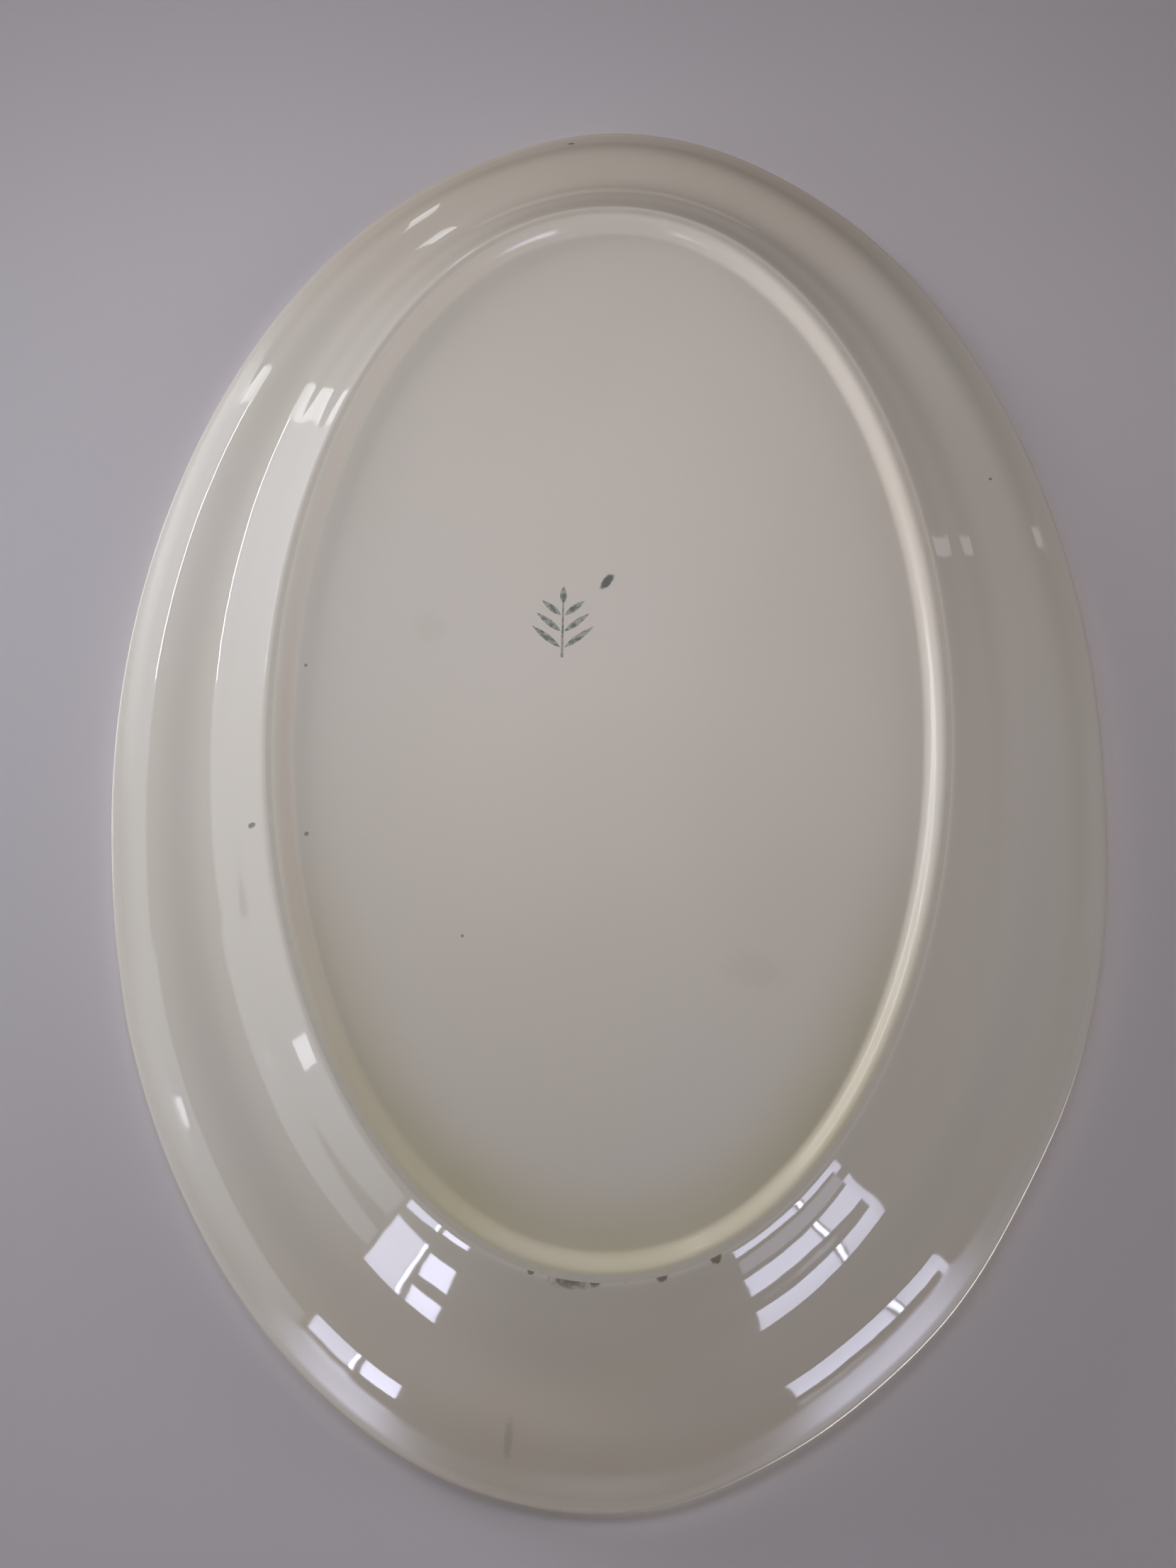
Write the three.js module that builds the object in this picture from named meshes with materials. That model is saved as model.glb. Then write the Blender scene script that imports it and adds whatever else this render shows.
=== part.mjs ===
// An oval porcelain serving dish, standing on its foot with its well open upwards.
// Millimetres, +Z up. The origin is under the middle of the dish, on the plane that it stands on.
// The long axis is Y. The clay body and its foot ring are each one solid, and the three glaze coats
// lie on them with shared faces, so that nothing overlaps and nothing hangs off its neighbour.
import * as THREE from "three";
import { mergeGeometries, mergeVertices } from "three/addons/utils/BufferGeometryUtils.js";

// Driving dimensions of the plan, which is two ovals: the rim and the foot's standing line.
const LENGTH = 350;
const WIDTH = 242;
const FOOT_LENGTH = 256;
const FOOT_WIDTH = 153.4;
const RIM_FULLNESS = 2; // superellipse exponent: 2 is a true ellipse
const FOOT_FULLNESS = 2.03;

// Driving dimensions of the section. u is the distance outwards from the middle of the standing
// line, at the middle of a long side. At the two ends the same section is a little wider.
const GLAZE = 0.3; // thickness of the glaze coats
const WALL = 4.6; // thickness of wall and flange, glaze included
const WELL_FLOOR = 7.8; // height of the well's flat floor
const WELL_BLEND = 1.2; // how far the wall's curve runs into that floor
const RECESS = 3; // depth of the recess inside the foot ring
const STANDING_LINE = 1.2; // width of the bare, flat standing line
const INNER_FLANK = 4.8; // width of the ring's inner flank
const SHOULDER = 1.2; // where the outer flank would meet the standing plane if it were sharp
const SHOULDER_BLEND = 0.35; // how far the rounding there runs up the flank
const RING_EDGE = 7.6; // where the ring's outer flank runs into the wall of the well
const BASE_SLOPE = 0.15; // rise of the underside between its steps, mm for mm
const LIP_START = 43; // where the underside's curve turns into the lip's half round

// The underside is a shallow cone with four smooth steps in it: middle, half width and rise.
const UNDERSIDE_STEPS = [
  { middle: 3.3, halfWidth: 8, rise: 4.7 }, // outer flank of the foot ring
  { middle: 13.2, halfWidth: 11.4, rise: 6.6 }, // wall of the well
  { middle: 36, halfWidth: 10.2, rise: 5.4 }, // turned-up outer half of the flange
  { middle: 43.5, halfWidth: 6, rise: 1.2 }, // its last few millimetres, which stay steep to the lip
];

// The printed mark: a plain sprig of leaves on the recess floor, its tip towards +Y.
const MARK_CENTRE = new THREE.Vector2(11, 14);
const MARK_HEIGHT = 18;
const MARK_THICKNESS = 0.1;
const LEAF_PAIRS = 3;
const LEAF_LENGTH = 7.2;
const LEAF_WIDTH = 2;
const STEM_WIDTH = 0.6;

// How finely the ovals and the section are drawn.
const SEGMENTS = 72;
const SECTION_STEP = 4.9;
const FLANK_POINTS = 5;
const LIP_POINTS = 3;

const SIDE_MARGIN = (WIDTH - FOOT_WIDTH) / 2;
const END_MARGIN = (LENGTH - FOOT_LENGTH) / 2;

// Rises smoothly from 0 to 1 as x goes from -1 to 1, steepest in the middle.
function smoothStep(x) {
  const t = THREE.MathUtils.clamp(x, -1, 1);
  return (1 + t + Math.sin(Math.PI * t) / Math.PI) / 2;
}

// The higher of two heights, with a fillet where they cross.
function filletedMax(a, b, blend) {
  const h = Math.max(blend - Math.abs(a - b), 0) / blend;
  return Math.max(a, b) + (h * h * blend) / 4;
}

// The cone and its steps, before the standing plane cuts them off.
function steppedCone(u) {
  return UNDERSIDE_STEPS.reduce(
    (z, step) => z + step.rise * smoothStep((u - step.middle) / step.halfWidth),
    BASE_SLOPE * u,
  );
}

function undersideHeight(u) {
  return filletedMax(steppedCone(u) - steppedCone(SHOULDER), 0, SHOULDER_BLEND);
}

// Moves a section line sideways to its left, each point along the mean of its neighbours' normals.
function offset(line, distance) {
  return line.map((point, i) => {
    const before = line[Math.max(i - 1, 0)];
    const after = line[Math.min(i + 1, line.length - 1)];
    const along = after.clone().sub(before).normalize();
    return new THREE.Vector2(point.x - along.y * distance, point.y + along.x * distance);
  });
}

// The section's lines, as seen from outside: every one runs with the dish on its left.
const standingInner = new THREE.Vector2(-STANDING_LINE / 2, 0);
const standingOuter = new THREE.Vector2(STANDING_LINE / 2, 0);
const axis = -FOOT_WIDTH / 2;

function recessLine() {
  const start = standingInner.x - INNER_FLANK;
  const line = [new THREE.Vector2(axis, RECESS), new THREE.Vector2(axis / 2, RECESS)];
  for (let i = 0; i <= FLANK_POINTS; i++) {
    const t = i / (FLANK_POINTS + 0.5); // stops short of the standing line, where the coat ends
    line.push(new THREE.Vector2(start + t * INNER_FLANK, RECESS * (1 - smoothStep(2 * t - 1))));
  }
  return line;
}

function undersideLine() {
  const line = [];
  for (let i = 1; i <= FLANK_POINTS; i++) {
    const t = (i / FLANK_POINTS) ** 1.6; // closer together on the ring's rounded shoulder
    const u = THREE.MathUtils.lerp(standingOuter.x, RING_EDGE, t);
    line.push(new THREE.Vector2(u, undersideHeight(u)));
  }
  const steps = Math.round((LIP_START - RING_EDGE) / SECTION_STEP);
  for (let i = 1; i <= steps; i++) {
    const u = THREE.MathUtils.lerp(RING_EDGE, LIP_START, i / steps);
    line.push(new THREE.Vector2(u, undersideHeight(u)));
  }
  return line;
}

// A quarter of the lip's half round, from one angle to another about its centre.
function lipArc(centre, from, to) {
  const points = [];
  for (let i = 1; i <= LIP_POINTS; i++) {
    const angle = THREE.MathUtils.lerp(from, to, i / LIP_POINTS);
    const radius = WALL / 2;
    points.push(
      new THREE.Vector2(centre.x + radius * Math.cos(angle), centre.y + radius * Math.sin(angle)),
    );
  }
  return points;
}

const underside = undersideLine();
const undersideEnd = underside.at(-1);
const lipSlope = Math.atan2(
  undersideHeight(LIP_START) - undersideHeight(LIP_START - 0.1),
  0.1,
);
const lipCentre = new THREE.Vector2(
  undersideEnd.x - (WALL / 2) * Math.sin(lipSlope),
  undersideEnd.y + (WALL / 2) * Math.cos(lipSlope),
);
const backLip = lipArc(lipCentre, lipSlope - Math.PI / 2, 0);
const faceLip = lipArc(lipCentre, 0, lipSlope + Math.PI / 2);

// The face keeps the wall's thickness above the underside, down to the flat floor of the well.
function wellLine() {
  const wall = offset(underside, WALL)
    .slice(0, -1)
    .filter((point) => point.y > WELL_FLOOR - WELL_BLEND)
    .map((point) => new THREE.Vector2(point.x, filletedMax(point.y, WELL_FLOOR, WELL_BLEND)));
  wall.reverse();
  const floor = [-2, axis / 2, axis].map((u) => new THREE.Vector2(u, WELL_FLOOR));
  return [...wall, ...floor];
}

const recess = recessLine();
const back = [...underside, ...backLip];
const face = [backLip.at(-1), ...faceLip, ...wellLine()];

// The clay under the glaze: the same lines moved in by the coat's thickness.
const clayRecess = offset(recess, GLAZE);
const clayBack = offset(back, GLAZE);
const clayFace = offset(face, GLAZE);
clayBack.unshift(standingOuter);
clayRecess.push(standingInner);
const clayLip = clayBack.at(-1);
clayFace[0] = clayLip;
for (const line of [clayRecess, clayFace]) {
  for (const point of line) {
    if (point.x < axis / 2 - 1) point.x = axis;
  }
}

// The foot ring ends, and the body's own underside begins, at these points of the clay lines.
const ringInnerCorner = 2;
const ringOuterCorner = FLANK_POINTS;

// One oval skin: a lathed line whose circles are drawn out into the dish's ovals.
function skin(line) {
  const points = line.map((point) => new THREE.Vector2(point.x - axis, point.y));
  const geometry = new THREE.LatheGeometry(points, SEGMENTS);
  geometry.rotateX(Math.PI / 2);
  geometry.deleteAttribute("normal");
  geometry.deleteAttribute("uv");
  const position = geometry.getAttribute("position");
  for (let i = 0; i < position.count; i++) {
    const x = position.getX(i);
    const y = position.getY(i);
    const radius = Math.hypot(x, y);
    const u = radius + axis;
    const out = Math.max(u, 0) / SIDE_MARGIN;
    const halfLength =
      radius > 1e-6 ? FOOT_LENGTH / 2 + Math.min(u, 0) + out * END_MARGIN : 0;
    const power = 2 / THREE.MathUtils.lerp(FOOT_FULLNESS, RIM_FULLNESS, Math.min(out, 1));
    const cos = radius > 1e-6 ? x / radius : 0;
    const sin = radius > 1e-6 ? y / radius : 0;
    position.setX(i, radius * Math.sign(cos) * Math.abs(cos) ** power);
    position.setY(i, halfLength * Math.sign(sin) * Math.abs(sin) ** power);
  }
  return geometry;
}

// The same skin seen from its other side.
function turned(geometry) {
  const copy = geometry.clone();
  const index = copy.getIndex();
  for (let i = 0; i < index.count; i += 3) {
    const first = index.getX(i);
    index.setX(i, index.getX(i + 1));
    index.setX(i + 1, first);
  }
  return copy;
}

function mesh(name, skins, material) {
  const geometry = mergeVertices(mergeGeometries(skins), 1e-4);
  geometry.computeVertexNormals();
  const made = new THREE.Mesh(geometry, material);
  made.name = name;
  return made;
}

const clay = new THREE.MeshStandardMaterial({ color: 0xd9d2c2, roughness: 0.7 });
const glaze = new THREE.MeshStandardMaterial({ color: 0xded9cb, roughness: 0.12 });
const ink = new THREE.MeshStandardMaterial({ color: 0x8f9184, roughness: 0.5 });

// Skins that two solids share.
const clayRecessFloor = skin(clayRecess.slice(0, ringInnerCorner + 1));
const clayInnerFlank = skin(clayRecess.slice(ringInnerCorner));
const clayOuterFlank = skin(clayBack.slice(0, ringOuterCorner + 1));
const clayUnderside = skin(clayBack.slice(ringOuterCorner));
const clayWell = skin(clayFace);
const ringSeam = skin([clayRecess[ringInnerCorner], clayBack[ringOuterCorner]]);
const lipSeam = skin([back.at(-1), clayLip]);

// The pressed body: well floor, wall and flange in one piece.
function dishBody() {
  return mesh("dish_body", [clayRecessFloor, ringSeam, clayUnderside, clayWell], clay);
}

// The oval strip of clay luted to the back. Its edge is flat and bare, and the dish stands on it.
function footRing() {
  const standingLine = skin([standingInner, standingOuter]);
  const skins = [clayInnerFlank, standingLine, clayOuterFlank, turned(ringSeam)];
  return mesh("foot_ring", skins, clay);
}

// The coat over the recess inside the ring and the ring's inner flank.
function recessGlaze() {
  const edge = skin([recess.at(-1), standingInner]);
  const skins = [skin(recess), edge, turned(clayInnerFlank), turned(clayRecessFloor)];
  return mesh("recess_glaze", skins, glaze);
}

// The coat over the ring's outer flank, the wall and the flange, out to the middle of the lip.
function backGlaze() {
  const edge = skin([standingOuter, back[0]]);
  const skins = [edge, skin(back), lipSeam, turned(clayUnderside), turned(clayOuterFlank)];
  return mesh("back_glaze", skins, glaze);
}

// The coat over the upper half of the lip, the flange's face and the well.
function faceGlaze() {
  return mesh("face_glaze", [turned(clayWell), turned(lipSeam), skin(face)], glaze);
}

// One side of the sprig's outline, from the foot of the stem up to its top leaf's base.
function addLeaves(outline, side, upwards) {
  const pairs = [...Array(LEAF_PAIRS).keys()];
  if (!upwards) pairs.reverse();
  for (const i of pairs) {
    const low = (MARK_HEIGHT * (i + 0.6)) / (LEAF_PAIRS + 1.4) - MARK_HEIGHT / 2;
    const length = LEAF_LENGTH * (1 - 0.15 * i);
    const tip = [side * length, low + length * 0.75];
    const edges = [
      [side * length * 0.75, low + LEAF_WIDTH * 0.1],
      [side * length * 0.3, low + LEAF_WIDTH + length * 0.45],
    ];
    const roots = [
      [(side * STEM_WIDTH) / 2, low],
      [(side * STEM_WIDTH) / 2, low + LEAF_WIDTH],
    ];
    if (!upwards) {
      edges.reverse();
      roots.reverse();
    }
    outline.lineTo(...roots[0]);
    outline.quadraticCurveTo(...edges[0], ...tip);
    outline.quadraticCurveTo(...edges[1], ...roots[1]);
  }
}

function backstamp() {
  const top = MARK_HEIGHT / 2;
  const leafFoot = top - LEAF_LENGTH * 0.7;
  const outline = new THREE.Shape();
  outline.moveTo(STEM_WIDTH / 2, -top);
  addLeaves(outline, 1, true);
  outline.lineTo(STEM_WIDTH / 2, leafFoot);
  outline.quadraticCurveTo(LEAF_WIDTH * 1.2, top - LEAF_LENGTH * 0.3, 0, top);
  outline.quadraticCurveTo(-LEAF_WIDTH * 1.2, top - LEAF_LENGTH * 0.3, -STEM_WIDTH / 2, leafFoot);
  addLeaves(outline, -1, false);
  outline.lineTo(-STEM_WIDTH / 2, -top);
  outline.closePath();
  const made = new THREE.Mesh(
    new THREE.ExtrudeGeometry(outline, {
      depth: MARK_THICKNESS,
      bevelEnabled: false,
      curveSegments: 6,
    }),
    ink,
  );
  made.name = "backstamp";
  made.position.set(MARK_CENTRE.x, MARK_CENTRE.y, RECESS - MARK_THICKNESS);
  return made;
}

const dish = new THREE.Group();
dish.add(dishBody(), footRing(), recessGlaze(), backGlaze(), faceGlaze(), backstamp());
export default dish;
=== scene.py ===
"""An oval porcelain serving dish: ivory glaze over a white clay body, with a low oval foot ring.

The camera looks at the dish's back from below, so the main view shows the underside: the flat
recess with its small printed sprig, the foot ring, the wall of the well and the broad flange.
"""
import math

import bpy
import numpy as np
from mathutils import Euler, Matrix, Vector
from mathutils import noise as blender_noise


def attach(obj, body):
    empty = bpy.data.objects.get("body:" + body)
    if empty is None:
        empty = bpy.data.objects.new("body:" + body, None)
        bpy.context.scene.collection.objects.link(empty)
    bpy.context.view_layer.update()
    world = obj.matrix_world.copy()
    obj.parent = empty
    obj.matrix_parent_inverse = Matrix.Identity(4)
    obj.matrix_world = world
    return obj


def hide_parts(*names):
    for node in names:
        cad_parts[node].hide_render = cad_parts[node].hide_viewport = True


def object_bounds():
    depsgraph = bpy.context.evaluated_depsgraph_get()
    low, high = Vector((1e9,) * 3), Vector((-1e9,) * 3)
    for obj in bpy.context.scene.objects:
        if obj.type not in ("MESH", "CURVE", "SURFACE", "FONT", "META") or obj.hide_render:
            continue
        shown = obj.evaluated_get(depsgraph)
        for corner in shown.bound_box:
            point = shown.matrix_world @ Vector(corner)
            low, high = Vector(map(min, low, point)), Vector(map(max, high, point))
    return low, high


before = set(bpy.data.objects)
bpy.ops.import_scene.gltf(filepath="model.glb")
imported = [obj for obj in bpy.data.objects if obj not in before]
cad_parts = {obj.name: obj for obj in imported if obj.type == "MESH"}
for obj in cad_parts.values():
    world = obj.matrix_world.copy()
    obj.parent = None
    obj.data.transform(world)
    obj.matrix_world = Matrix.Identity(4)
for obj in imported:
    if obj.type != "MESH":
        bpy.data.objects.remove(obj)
cad_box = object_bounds()

MM = 0.001

# Plan and section, in millimetres, as in the CAD part. u is the distance outwards from the
# middle of the foot's standing line, at the middle of a long side.
LENGTH = 350
WIDTH = 242
FOOT_LENGTH = 256
FOOT_WIDTH = 153.4
RIM_FULLNESS = 2
FOOT_FULLNESS = 2.03
GLAZE = 0.3
WALL = 4.6
WELL_FLOOR = 7.8
WELL_BLEND = 1.2
RECESS = 3
STANDING_LINE = 1.2
INNER_FLANK = 4.8
SHOULDER = 1.2
SHOULDER_BLEND = 0.35
RING_EDGE = 7.6
BASE_SLOPE = 0.15
LIP_START = 43
# The steps of the underside: middle, half width and rise.
UNDERSIDE_STEPS = ((3.3, 8, 4.7), (13.2, 11.4, 6.6), (36, 10.2, 5.4), (43.5, 6, 1.2))
SIDE_MARGIN = (WIDTH - FOOT_WIDTH) / 2
END_MARGIN = (LENGTH - FOOT_LENGTH) / 2
AXIS = -FOOT_WIDTH / 2
ON_AXIS = AXIS + 1e-6
RECESS_EDGE = -STANDING_LINE / 2 - INNER_FLANK
SEGMENTS = 240

RIM_TOP = cad_box[1].z


# ---------------------------------------------------------------- section lines

def smooth_step(x):
    t = np.clip(x, -1, 1)
    return (1 + t + np.sin(np.pi * t) / np.pi) / 2


def filleted_max(a, b, blend):
    h = np.maximum(blend - np.abs(a - b), 0) / blend
    return np.maximum(a, b) + h * h * blend / 4


def stepped_cone(u):
    return BASE_SLOPE * u + sum(
        rise * smooth_step((u - middle) / half) for middle, half, rise in UNDERSIDE_STEPS
    )


def underside_height(u):
    return filleted_max(stepped_cone(u) - stepped_cone(SHOULDER), 0, SHOULDER_BLEND)


def line_of(u, z):
    return np.stack([np.asarray(u, float), np.broadcast_to(z, np.shape(u)).astype(float)], 1)


def offset(line, distance):
    """Moves a section line sideways to its left."""
    along = np.empty_like(line)
    along[1:-1] = line[2:] - line[:-2]
    along[0] = line[1] - line[0]
    along[-1] = line[-1] - line[-2]
    along /= np.linalg.norm(along, axis=1, keepdims=True)
    return line + distance * np.stack([-along[:, 1], along[:, 0]], 1)


def recess_line():
    """From the axis along the recess's floor, and down the ring's inner flank."""
    floor = np.concatenate([[AXIS], np.linspace(AXIS * 0.9, RECESS_EDGE - 4, 12), [RECESS_EDGE - 1.5]])
    t = np.linspace(0, 0.97, 22)
    flank = line_of(RECESS_EDGE + t * INNER_FLANK, RECESS * (1 - smooth_step(2 * t - 1)))
    return np.concatenate([line_of(floor, RECESS), flank])


def underside_line():
    """From the ring's outer flank over the wall and the flange to the start of the lip."""
    shoulder = np.linspace(STANDING_LINE / 2 + 0.1, 3, 14)
    rest = np.linspace(3, LIP_START, 62)[1:]
    u = np.concatenate([shoulder, rest])
    return line_of(u, underside_height(u))


def lip_arc(centre, start, end):
    angle = np.linspace(start, end, 10)[1:]
    return centre + WALL / 2 * np.stack([np.cos(angle), np.sin(angle)], 1)


def well_line(underside):
    """From the lip down the dish's face, a wall's thickness above the underside, to the axis."""
    wall = offset(underside, WALL)[:-1]
    wall = wall[wall[:, 1] > WELL_FLOOR - WELL_BLEND]
    wall[:, 1] = filleted_max(wall[:, 1], WELL_FLOOR, WELL_BLEND)
    floor = np.concatenate([np.linspace(-2.5, AXIS * 0.9, 14), [AXIS]])
    return np.concatenate([wall[::-1], line_of(floor, WELL_FLOOR)])


underside = underside_line()
lip_slope = math.atan2(underside_height(LIP_START) - underside_height(LIP_START - 0.1), 0.1)
lip_centre = underside[-1] + WALL / 2 * np.array([-math.sin(lip_slope), math.cos(lip_slope)])
back_lip = lip_arc(lip_centre, lip_slope - math.pi / 2, 0)
face_lip = lip_arc(lip_centre, 0, lip_slope + math.pi / 2)

recess = recess_line()
back = np.concatenate([underside, back_lip])
face = np.concatenate([back_lip[-1:], face_lip, well_line(underside)])

# The clay's surface lies under the glaze and comes bare at the standing line.
clay_recess = np.concatenate([offset(recess, GLAZE), [[-STANDING_LINE / 2, 0]]])
clay_back = np.concatenate([[[STANDING_LINE / 2, 0]], offset(back, GLAZE)])
clay_face = offset(face, GLAZE)
clay_face[0] = clay_back[-1]
clay_recess[0, 0] = AXIS
clay_face[-1, 0] = AXIS

# Where the ring's clay is luted to the body.
ring_inner = int(np.argmax(recess[:, 0] >= RECESS_EDGE))
ring_outer = int(np.argmax(clay_back[:, 0] > RING_EDGE))


# ---------------------------------------------------------------- meshes

# The unevenness of the fired clay: the height, length and seed of each kind, in millimetres. It
# fades in over the first few millimetres from the standing line.
BULGES = ((0.11, 46, 3.1), (0.03, 17, 8.4))
BULGE_FADE = 6

# How far the wall, flange and rim stand out from their true ovals, by the angle round the dish in
# degrees, in millimetres. The angle turns from -X towards +Y. A fired dish is never quite true.
WANDER = (
    (0, 0.0), (30, 0.0), (60, 0.3), (86, 1.3), (112, -0.8), (150, -0.9), (188, -0.5), (215, 0.8),
    (245, 0.8), (268, 0.3), (294, -1.6), (315, -0.2), (336, 1.6), (360, 0.0),
)
# It grows evenly from here over this width of the section.
WANDER_START = 4
WANDER_GROWTH = 38


def bulge(x, y):
    """How far the surface wanders up or down at a point of the plan."""
    return sum(
        height * blender_noise.noise(Vector((x / length, y / length, seed)))
        for height, length, seed in BULGES
    )


def wander(degrees):
    for (start, low), (end, high) in zip(WANDER, WANDER[1:]):
        if degrees <= end:
            return low + (high - low) * smooth_step(2 * (degrees - start) / (end - start) - 1)
    return WANDER[-1][1]


def oval_points(line):
    """The line swept round the dish: one ring of SEGMENTS points for each point of the line."""
    angle = 2 * np.pi * np.arange(SEGMENTS) / SEGMENTS
    shift = np.array([wander(math.degrees(math.pi - a) % 360) for a in angle])
    u = line[:, :1] + shift[None] * np.clip((line[:, :1] - WANDER_START) / WANDER_GROWTH, 0, 1)
    out = np.maximum(u, 0) / SIDE_MARGIN
    half_width = FOOT_WIDTH / 2 + u
    half_length = np.where(u > ON_AXIS, FOOT_LENGTH / 2 + np.minimum(u, 0) + out * END_MARGIN, 0)
    power = 2 / (FOOT_FULLNESS + (RIM_FULLNESS - FOOT_FULLNESS) * np.minimum(out, 1))
    cos, sin = np.cos(angle)[None], np.sin(angle)[None]
    x = half_width * np.sign(cos) * np.abs(cos) ** power
    y = half_length * np.sign(sin) * np.abs(sin) ** power
    z = np.broadcast_to(line[:, 1:], x.shape).copy()
    for index in np.ndindex(x.shape):
        fade = min(1, abs(line[index[0], 0]) / BULGE_FADE)
        z[index] += fade * bulge(x[index], y[index])
    return np.stack([x, y, z], -1)


def link(name, data):
    made = bpy.data.objects.new(name, data)
    bpy.context.scene.collection.objects.link(made)
    return made


def ring_mesh(name, line):
    """A closed solid swept from a section line. A line whose ends are on the axis is closed there by
    two poles, and any other line is a closed loop. It keeps each point's u for the glaze."""
    points = oval_points(line)
    count = len(line)
    poles = line[0, 0] <= ON_AXIS
    verts = []
    across = []
    rows = []
    for i in range(count):
        ring = points[i, :1] if poles and i in (0, count - 1) else points[i]
        rows.append([len(verts) + j % len(ring) for j in range(SEGMENTS)])
        verts.extend(ring)
        across.extend([line[i, 0]] * len(ring))
    faces = []
    for i in range(count - 1 if poles else count):
        low, high = rows[i], rows[(i + 1) % count]
        for j in range(SEGMENTS):
            k = (j + 1) % SEGMENTS
            corners = [low[j], low[k], high[k], high[j]]
            corners = [c for n, c in enumerate(corners) if c != corners[n - 1]]
            if len(corners) > 2:
                faces.append(corners)
    mesh = bpy.data.meshes.new(name)
    mesh.from_pydata((np.array(verts) * MM).tolist(), [], faces)
    mesh.attributes.new("across", "FLOAT", "POINT").data.foreach_set("value", across)
    mesh.shade_smooth()
    mesh.set_sharp_from_angle(angle=math.radians(50))
    return link(name, mesh)


def place(piece, look, node):
    piece.data.materials.append(look)
    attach(piece, "root")
    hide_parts(node)


# ---------------------------------------------------------------- materials

class Nodes:
    """A small helper that adds linked shader nodes."""

    def __init__(self, name):
        self.material = bpy.data.materials.new(name)
        self.material.use_nodes = True
        self.tree = self.material.node_tree
        self.shader = self.tree.nodes["Principled BSDF"]
        self.output = self.tree.nodes["Material Output"]
        self.coordinates = self.add("ShaderNodeTexCoord").outputs["Object"]

    def add(self, kind, **settings):
        made = self.tree.nodes.new(kind)
        for key, value in settings.items():
            setattr(made, key, value)
        return made

    def set(self, socket, value):
        if isinstance(value, bpy.types.NodeSocket):
            self.tree.links.new(value, socket)
        else:
            socket.default_value = value

    def math(self, operation, *values):
        made = self.add("ShaderNodeMath", operation=operation)
        for socket, value in zip(made.inputs, values):
            self.set(socket, value)
        return made.outputs[0]

    def noise(self, scale, detail):
        made = self.add("ShaderNodeTexNoise")
        self.set(made.inputs["Vector"], self.coordinates)
        made.inputs["Scale"].default_value = scale
        made.inputs["Detail"].default_value = detail
        return made.outputs["Fac"]

    def along(self):
        """How far a point is along the dish, in metres."""
        split = self.add("ShaderNodeSeparateXYZ")
        self.set(split.inputs[0], self.coordinates)
        return split.outputs["Y"]

    def across(self):
        """How far out of the standing line a point is in the section, in millimetres."""
        return self.add("ShaderNodeAttribute", attribute_name="across").outputs["Fac"]

    def spot(self, x, y, radius, stretch=(1, 1), turn=0, ragged=0.35, edge=0.5):
        """1 inside a ragged oval spot of the plan and 0 outside it. Everything in millimetres."""
        moved = self.add("ShaderNodeMapping", vector_type="TEXTURE")
        self.set(moved.inputs["Vector"], self.coordinates)
        moved.inputs["Location"].default_value = (x * MM, y * MM, 0)
        moved.inputs["Rotation"].default_value = (0, 0, math.radians(turn))
        moved.inputs["Scale"].default_value = (radius * MM * stretch[0], radius * MM * stretch[1], 1)
        length = self.add("ShaderNodeVectorMath", operation="LENGTH")
        self.set(length.inputs[0], moved.outputs["Vector"])
        rough_edge = self.math("MULTIPLY_ADD", self.noise(900, 2), ragged * 2, -ragged)
        distance = self.math("ADD", length.outputs["Value"], rough_edge)
        return self.ramp(distance, 1 - edge / 2, 1 + edge / 2, 1.0, 0.0)

    def ramp(self, value, low, high, to_low=0.0, to_high=1.0):
        made = self.add("ShaderNodeMapRange", interpolation_type="SMOOTHSTEP")
        ends = {"From Min": low, "From Max": high, "To Min": to_low, "To Max": to_high}
        self.set(made.inputs["Value"], value)
        for name, number in ends.items():
            made.inputs[name].default_value = number
        return made.outputs["Result"]

    def mix(self, factor, a, b):
        made = self.add("ShaderNodeMix", data_type="RGBA")
        self.set(made.inputs["Factor"], factor)
        self.set(made.inputs["A"], a)
        self.set(made.inputs["B"], b)
        return made.outputs["Result"]


def rgb(r, g, b):
    return (r, g, b, 1.0)


IVORY = rgb(0.76, 0.705, 0.635)
IVORY_WARM = rgb(0.75, 0.685, 0.60)
# Darker yellow for the recess corner: pooled glaze together with painted shade.
POOLED_AND_SHADE = rgb(0.62, 0.56, 0.36)
# Darker warm tone of painted shade at both ends of the back.
END_SHADE = rgb(0.71, 0.615, 0.51)
GRIT = rgb(0.13, 0.10, 0.065)
STAIN = rgb(0.52, 0.46, 0.37)
SOOT = rgb(0.12, 0.13, 0.13)
CLAY_DARK = rgb(0.60, 0.54, 0.46)
CLAY_LIGHT = rgb(0.68, 0.62, 0.54)
INK_DARK = rgb(0.20, 0.22, 0.20)
INK_LIGHT = rgb(0.45, 0.45, 0.40)

# Spots: x, y and radius in millimetres, and where it isn't a plain one, its stretch along x and y,
# its turn in degrees, how ragged its edge is and how soft.
KILN_GRIT = (
    (5.6, -127.6, 3.6, (1, 0.5), -4, 0.6, 0.9), (1.4, -128.0, 1.3), (-11.8, -127.0, 1.2),
    (-22.5, -123.6, 1.1), (14.0, -126.6, 0.7), (-4.6, -128.0, 0.5),
)
BACK_PINHOLES = ((78.7, -36.3, 1.0, (1, 0.6)), (12.4, 169.1, 0.9, (1, 0.7)), (-96.0, 60.0, 0.4))
BROWN_RUN = ((18.3, -160.0, 1.5, (0.55, 2.6), 3, 0.5, 0.9),)
RECESS_STAINS = ((-31.9, -66.4, 4.5, (1.3, 0.8), 10, 0.6, 1.2), (42.0, 12.0, 3.5, (1, 1), 0, 0.6, 1.2))
RECESS_SMUDGE = ((0.8, 24.4, 2.2, (0.45, 1.0), 36, 0.3),)
RECESS_PINHOLES = ((66.5, -38.0, 0.5), (70.0, 2.0, 0.4), (31.0, -60.0, 0.35))

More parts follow.
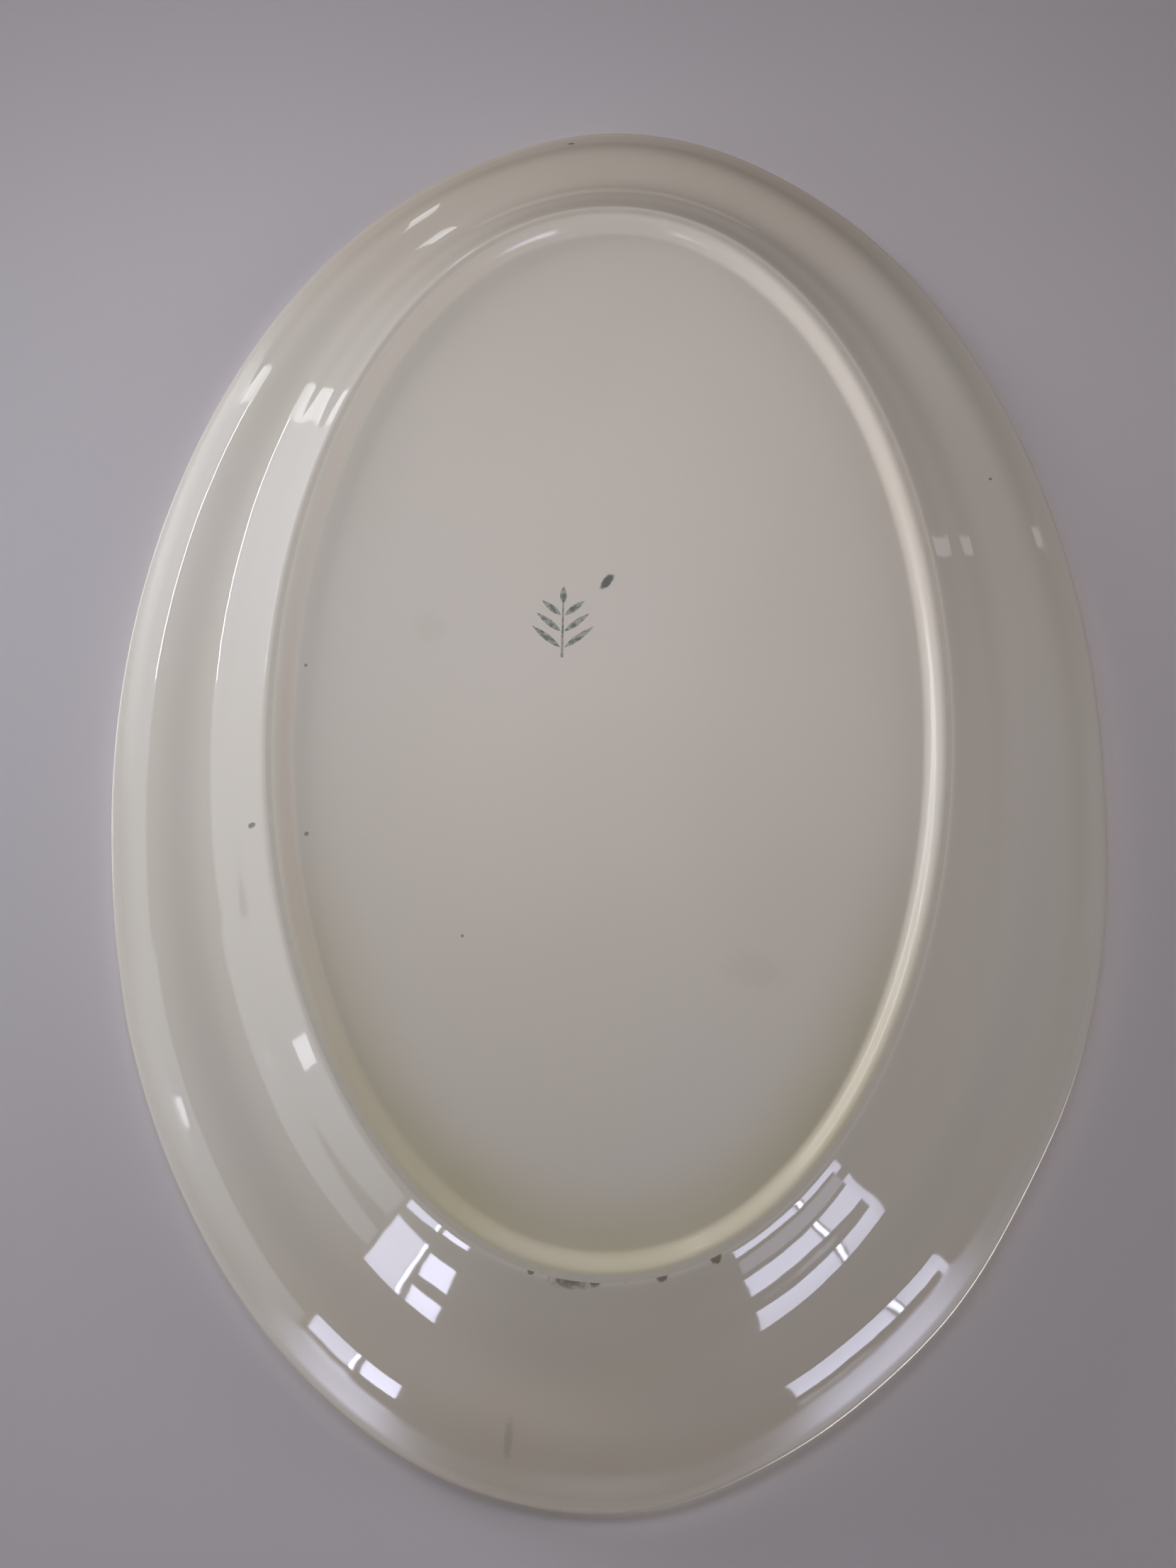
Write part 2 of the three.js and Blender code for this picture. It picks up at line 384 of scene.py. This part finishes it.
GLAZE_IOR = 1.52
CRISP = 0.045


class Glaze(Nodes):
    """A glossy ivory glaze over the clay. Marks are laid over its colour before it is finished."""

    def __init__(self, name):
        super().__init__(name)
        self.colour = self.mix(self.ramp(self.noise(9, 2), 0.35, 0.7), IVORY, IVORY_WARM)

    def mark(self, amount, colour):
        self.colour = self.mix(amount, self.colour, colour)

    def spots(self, listed, colour, strength):
        for x, y, radius, *shape in listed:
            self.mark(self.math("MULTIPLY", self.spot(x, y, radius, *shape), strength), colour)

    def cloudy(self):
        return self.ramp(self.noise(22, 3), 0.25, 0.75, 0.6, 1.0)

    def finish(self, roughness):
        """Sets the shader, with the slight dimples of a fired glaze."""
        self.set(self.shader.inputs["Base Color"], self.colour)
        self.set(self.shader.inputs["Roughness"], roughness)
        self.shader.inputs["IOR"].default_value = GLAZE_IOR
        bump = self.add("ShaderNodeBump")
        bump.inputs["Strength"].default_value = 0.15
        bump.inputs["Distance"].default_value = 0.0004
        self.set(bump.inputs["Height"], self.noise(70, 2))
        self.set(self.shader.inputs["Normal"], bump.outputs["Normal"])
        return self.material


def back_glaze():
    """Crisp on the wall and the flange, duller on the turned-up rim, with painted shade, darker and
    warmer, at both ends, and with kiln grit, a brown run and a few pinholes."""
    g = Glaze("back_glaze_look")
    # Painted shade: the back is darker and warmer towards both ends, mottled by noise.
    far_end_shade = g.ramp(g.along(), 0.09, 0.16, 0.0, 0.9)
    near_end_shade = g.ramp(g.along(), -0.09, -0.16, 0.0, 0.7)
    g.mark(g.math("MULTIPLY", g.math("ADD", far_end_shade, near_end_shade), g.cloudy()), END_SHADE)
    g.spots(KILN_GRIT, GRIT, 0.72)
    g.spots(BACK_PINHOLES, GRIT, 0.75)
    g.spots(BROWN_RUN, STAIN, 0.55)
    rim = g.ramp(g.across(), 35.8, 38.8, CRISP, 0.27)
    lip = g.ramp(g.across(), 41.5, 43.0, 0.0, 0.2)
    return g.finish(g.math("ADD", rim, lip))


def recess_glaze():
    """The same glaze inside the ring, darker and yellower in the corner by the ring and most at -Y: partly
    the glaze lying thick there, partly painted shade.
    """
    g = Glaze("recess_glaze_look")
    # Pooled glaze and painted shade together: darker and yellower towards the ring's corner and towards
    # -Y.
    low_end = g.ramp(g.along(), -0.02, -0.12, 0.05, 0.8)
    corner = g.ramp(g.across(), -22.0, -4.5)
    g.mark(g.math("MULTIPLY", g.math("MULTIPLY", low_end, corner), g.cloudy()), POOLED_AND_SHADE)
    g.spots(RECESS_STAINS, STAIN, 0.12)
    g.spots(RECESS_SMUDGE, SOOT, 0.9)
    g.spots(RECESS_PINHOLES, GRIT, 0.6)
    return g.finish(0.14)


def face_glaze():
    """Plain, and a little uneven in its gloss from use."""
    g = Glaze("face_glaze_look")
    return g.finish(g.ramp(g.noise(60, 4), 0.3, 0.7, 0.05, 0.11))


def fired_clay():
    n = Nodes("fired_clay")
    n.set(n.shader.inputs["Base Color"], n.mix(n.noise(300, 3), CLAY_DARK, CLAY_LIGHT))
    n.shader.inputs["Roughness"].default_value = 0.5
    return n.material


def printed_ink():
    """Ink that took unevenly."""
    n = Nodes("stamp_ink")
    patchy = n.ramp(n.noise(900, 3), 0.35, 0.62)
    n.set(n.shader.inputs["Base Color"], n.mix(patchy, INK_DARK, INK_LIGHT))
    n.shader.inputs["Roughness"].default_value = 0.15
    return n.material


# ---------------------------------------------------------------- clay and glaze pieces

clay = fired_clay()
# Name, the section lines that bound it, look, material slot and the CAD node that it replaces.
PIECES = (
    (
        "body_clay", (clay_recess[: ring_inner + 1], clay_back[ring_outer:], clay_face[1:]),
        clay, "clay_body", "dish_body",
    ),
    ("ring_clay", (clay_recess[ring_inner:], clay_back[: ring_outer + 1]), clay, "bare_foot", "foot_ring"),
    ("recess_coat", (recess, clay_recess[::-1]), recess_glaze(), "recess_coat", "recess_glaze"),
    ("back_coat", (back, clay_back[::-1]), back_glaze(), "back_coat", "back_glaze"),
    ("face_coat", (clay_face[::-1], face), face_glaze(), "face_coat", "face_glaze"),
)
for piece_name, lines, look, slot, node in PIECES:
    place(ring_mesh(piece_name, np.concatenate(lines)), look, node)


# ---------------------------------------------------------------- the printed sprig

# In millimetres, in the plan of the recess.
MARK_CENTRE = (11, 14)
MARK_HEIGHT = 18
LEAF_PAIRS = 3
LEAF_LENGTH = 7.2
LEAF_WIDTH = 2
STEM_WIDTH = 0.6
PRINT_DEPTH = 0.03


def curve_points(start, bend, end, count=10):
    t = np.linspace(0, 1, count)[:, None]
    return (1 - t) ** 2 * np.array(start) + 2 * t * (1 - t) * np.array(bend) + t * t * np.array(end)


def leaf(root, tip, width):
    """A pointed leaf from root to tip, as a closed outline."""
    root, tip = np.array(root, float), np.array(tip, float)
    along = tip - root
    side = np.array([-along[1], along[0]]) / np.linalg.norm(along) * width
    middle = root + along * 0.4
    right = curve_points(root, middle - side, tip)
    left = curve_points(tip, middle + side, root)
    return np.concatenate([right[:-1], left[:-1]])


def sprig_outlines():
    """A stem with pairs of leaves that get shorter upwards, and one leaf at its tip."""
    half = MARK_HEIGHT / 2
    width = STEM_WIDTH / 2
    stem_top = half - 3
    outlines = [
        np.array([(-width, -half), (width, -half), (width * 0.5, stem_top), (-width * 0.5, stem_top)])
    ]
    for i in range(LEAF_PAIRS):
        low = MARK_HEIGHT * (i + 0.6) / (LEAF_PAIRS + 1.4) - half
        length = LEAF_LENGTH * (1 - 0.15 * i)
        for side in (-1, 1):
            root = (side * (width + 0.15), low)
            tip = (side * length, low + length * 0.75)
            outlines.append(leaf(root, tip, LEAF_WIDTH * side * 0.75))
    outlines.append(leaf((0, half - LEAF_LENGTH * 0.6), (0, half), LEAF_WIDTH * 0.8))
    return outlines


def print_mesh(name, outlines):
    """Closed slabs that follow the recess's floor and are flush with it."""
    verts = []
    faces = []
    for outline in outlines:
        start = len(verts)
        count = len(outline)
        plan = [(x + MARK_CENTRE[0], y + MARK_CENTRE[1]) for x, y in outline]
        for depth in (0, PRINT_DEPTH):
            verts += [(x, y, RECESS + bulge(x, y) - depth) for x, y in plan]
        faces.append(list(range(start, start + count)))
        faces.append(list(range(start + count, start + 2 * count))[::-1])
        for i in range(count):
            j = (i + 1) % count
            faces.append([start + j, start + i, start + count + i, start + count + j])
    mesh = bpy.data.meshes.new(name)
    mesh.from_pydata([(x * MM, y * MM, z * MM) for x, y, z in verts], [], faces)
    return link(name, mesh)


place(print_mesh("sprig_print", sprig_outlines()), printed_ink(), "backstamp")


# ---------------------------------------------------------------- stage

STAGE_HALF = 8.0
STAGE_GAP = 0.0002
FLOOR_GREY = rgb(0.62, 0.61, 0.61)
TABLE_GREY = rgb(0.72, 0.67, 0.69)
RAYS = ("diffuse", "glossy", "transmission", "volume_scatter", "shadow")


def one_sided(name, height, seen_from_above, colour):
    """A plane that the camera sees from one side only, and that takes no part in the light."""
    corners = [(-1, -1), (1, -1), (1, 1), (-1, 1)]
    order = [0, 1, 2, 3] if seen_from_above else [3, 2, 1, 0]
    mesh = bpy.data.meshes.new(name)
    mesh.from_pydata([(x * STAGE_HALF, y * STAGE_HALF, height) for x, y in corners], [], [order])
    n = Nodes(name + "_look")
    n.shader.inputs["Base Color"].default_value = colour
    n.shader.inputs["Roughness"].default_value = 0.8
    n.shader.inputs["Specular IOR Level"].default_value = 0.2
    sides = n.add("ShaderNodeMixShader")
    n.set(sides.inputs["Fac"], n.add("ShaderNodeNewGeometry").outputs["Backfacing"])
    n.set(sides.inputs[1], n.shader.outputs["BSDF"])
    n.set(sides.inputs[2], n.add("ShaderNodeBsdfTransparent").outputs["BSDF"])
    n.set(n.output.inputs["Surface"], sides.outputs["Shader"])
    mesh.materials.append(n.material)
    plane = link(name, mesh)
    for ray in RAYS:
        setattr(plane, "visible_" + ray, False)


one_sided("floor", -STAGE_GAP, True, FLOOR_GREY)
one_sided("table", RIM_TOP + STAGE_GAP, False, TABLE_GREY)


# ---------------------------------------------------------------- lights

def direction(azimuth, elevation):
    """A direction away from the dish's back. Azimuth turns from the view's right towards its top,
    and elevation is measured from the plane of the rim towards the camera's side."""
    a, e = math.radians(azimuth), math.radians(elevation)
    return Vector((-math.cos(a) * math.cos(e), math.sin(a) * math.cos(e), -math.sin(e)))


def panel(name, centre, facing, up, size, radiance, colour):
    """A rectangular area light that shines along facing, with its height along up."""
    data = bpy.data.lights.new(name, "AREA")
    data.shape = "RECTANGLE"
    data.size, data.size_y = size
    data.energy = radiance * math.pi * size[0] * size[1]
    data.color = colour
    facing = Vector(facing).normalized()
    right = facing.cross(Vector(up)).normalized()
    turn = Matrix((right, right.cross(facing), -facing)).transposed()
    made = link(name, data)
    made.matrix_world = Matrix.Translation(centre) @ turn.to_4x4()
    made.visible_camera = False
    return made


def wall_panel(name, wall, distance, sides, heights, radiance, colour):
    """A panel on an upright wall that faces the dish from azimuth wall. sides are its two edges along
    the wall, towards larger azimuths, and heights its lower and upper edge above the table. It only
    shows in the glaze, and the softboxes do its lighting."""
    across = (sides[0] + sides[1]) / 2
    high = (heights[0] + heights[1]) / 2
    centre = (
        Vector((0, 0, RIM_TOP)) + direction(wall, 0) * distance
        + direction(wall + 90, 0) * across + direction(0, 90) * high
    )
    size = (sides[1] - sides[0], heights[1] - heights[0])
    made = panel(name, centre, -direction(wall, 0), direction(0, 90), size, radiance, colour)
    made.visible_diffuse = False


def softbox(name, azimuth, elevation, distance, side, spread, radiance, colour):
    """A square panel turned straight to the dish's back from a given direction. It lights the dish
    and doesn't show in the glaze, as a light behind a wide ceiling diffuser doesn't."""
    towards = direction(azimuth, elevation)
    centre = Vector((0, 0, RIM_TOP)) + towards * distance
    up = direction(azimuth, elevation + 90)
    made = panel(name, centre, -towards, up, (side, side), radiance, colour)
    made.data.spread = math.radians(spread)
    made.visible_glossy = False


WINDOW_LIGHT = (0.75, 0.76, 1.0)
WALL_LIGHT = (0.79, 0.88, 1.0)
STRIP_LIGHT = (0.91, 0.95, 1.0)
SOFT_LIGHT = (1.0, 0.98, 1.0)

# The back of the dish is lit as in a room with two windows in one wall, behind the camera, and a
# bright wall on the left. Walls are given by their azimuths.
WINDOW_WALL = 274
LEFT_WALL = 158
NEAR_LEFT_WALL = 203
TOP_WALL = 115
RIGHT_WALL = 20
ROOM = 2.4

# Name, wall, distance, sides, heights, radiance and colour.
WALL_PANELS = (
    ("window_right_near", WINDOW_WALL, ROOM, (1.28, 2.17), (0.46, 1.60), 9.0, WINDOW_LIGHT),
    ("window_right_gap", WINDOW_WALL, ROOM, (2.21, 2.28), (0.46, 1.60), 22.0, WINDOW_LIGHT),
    ("window_right_far", WINDOW_WALL, ROOM, (2.31, 2.92), (0.46, 1.60), 8.0, WINDOW_LIGHT),
    ("window_right_end", WINDOW_WALL, ROOM, (2.92, 3.07), (0.30, 1.60), 7.0, WINDOW_LIGHT),
    ("window_right_sill", WINDOW_WALL, ROOM, (1.28, 2.92), (-0.10, 0.33), 1.8, WINDOW_LIGHT),
    ("window_left_near", WINDOW_WALL, ROOM, (-2.07, -1.68), (0.64, 1.60), 15.0, WINDOW_LIGHT),
    ("window_left_gap", WINDOW_WALL, ROOM, (-2.21, -2.15), (0.57, 1.60), 24.0, WINDOW_LIGHT),
    ("window_left_far", WINDOW_WALL, ROOM, (-2.80, -2.22), (0.57, 1.60), 9.5, WINDOW_LIGHT),
    ("left_strip", LEFT_WALL, ROOM, (-1.20, -1.00), (-0.40, 0.45), 2.6, STRIP_LIGHT),
    ("left_wall_near", LEFT_WALL, ROOM, (-1.00, 0.10), (-0.90, 0.24), 1.1, WALL_LIGHT),
    ("left_wall_far", LEFT_WALL, ROOM, (0.10, 1.10), (-0.90, 0.36), 1.1, WALL_LIGHT),
    ("left_sill", LEFT_WALL, ROOM, (-1.00, 0.40), (0.24, 0.28), 19.0, STRIP_LIGHT),
    ("left_far", NEAR_LEFT_WALL, ROOM, (-0.89, 0.92), (-0.90, 0.55), 1.15, WALL_LIGHT),
    ("left_lamp", NEAR_LEFT_WALL, 2.3, (-0.21, -0.07), (0.125, 0.26), 5.0, STRIP_LIGHT),
    ("top_door", TOP_WALL, ROOM, (-0.25, -0.10), (0.25, 0.95), 3.0, STRIP_LIGHT),
    ("right_lamp", RIGHT_WALL, ROOM, (0.50, 0.58), (-0.32, -0.10), 0.9, STRIP_LIGHT),
)
for row in WALL_PANELS:
    wall_panel(*row)

# Name, azimuth, elevation, distance, side, spread, radiance and colour.
SOFTBOXES = (
    ("near_centre", 105, 78, 0.27, 0.12, 180, 4.2, (1.0, 0.92, 0.94)),
    ("near_left", 168, 55, 0.36, 0.12, 180, 4.8, (0.74, 0.87, 1.0)),
    ("low_left", 196, 12, 1.5, 0.5, 120, 1.8, SOFT_LIGHT),
    ("low_top_left", 145, 12, 1.5, 0.5, 120, 5.0, SOFT_LIGHT),
    ("low_right", 8, 14, 1.5, 0.5, 120, 3.1, SOFT_LIGHT),
    ("low_bottom", 272, 6, 1.5, 0.5, 120, 2.8, SOFT_LIGHT),
)
for row in SOFTBOXES:
    softbox(*row)

# Lights of the views from above: name, place, facing, up, size, radiance and colour.
STUDIO_PANELS = (
    ("studio_key", (-1.3, -1.0, 1.9), (1.3, 1.0, -1.9), (0, 0, 1), (1.4, 1.0), 9.5, (1.0, 0.99, 0.97)),
    ("studio_fill", (1.6, 0.8, 1.5), (-1.6, -0.8, -1.5), (0, 0, 1), (1.2, 1.0), 5.0, (0.97, 0.98, 1.0)),
)
for row in STUDIO_PANELS:
    panel(*row)

world = bpy.data.worlds.new("room")
world.use_nodes = True
background = world.node_tree.nodes["Background"]
background.inputs["Color"].default_value = rgb(0.95, 0.95, 1.0)
background.inputs["Strength"].default_value = 0.02
bpy.context.scene.world = world


# ---------------------------------------------------------------- camera

CAMERA_PLACE = (0.00373, -0.09962, -0.25002)
CAMERA_TURN = (-163.657, 0.114, 179.046)

camera_data = bpy.data.cameras.new("camera")
camera_data.lens = 27.03
camera_data.sensor_width = 36
camera_data.clip_start = 0.01
camera = link("camera", camera_data)
camera.location = CAMERA_PLACE
camera.rotation_euler = Euler([math.radians(angle) for angle in CAMERA_TURN], "XYZ")
bpy.context.scene.camera = camera
bpy.context.scene.view_settings.view_transform = "Standard"
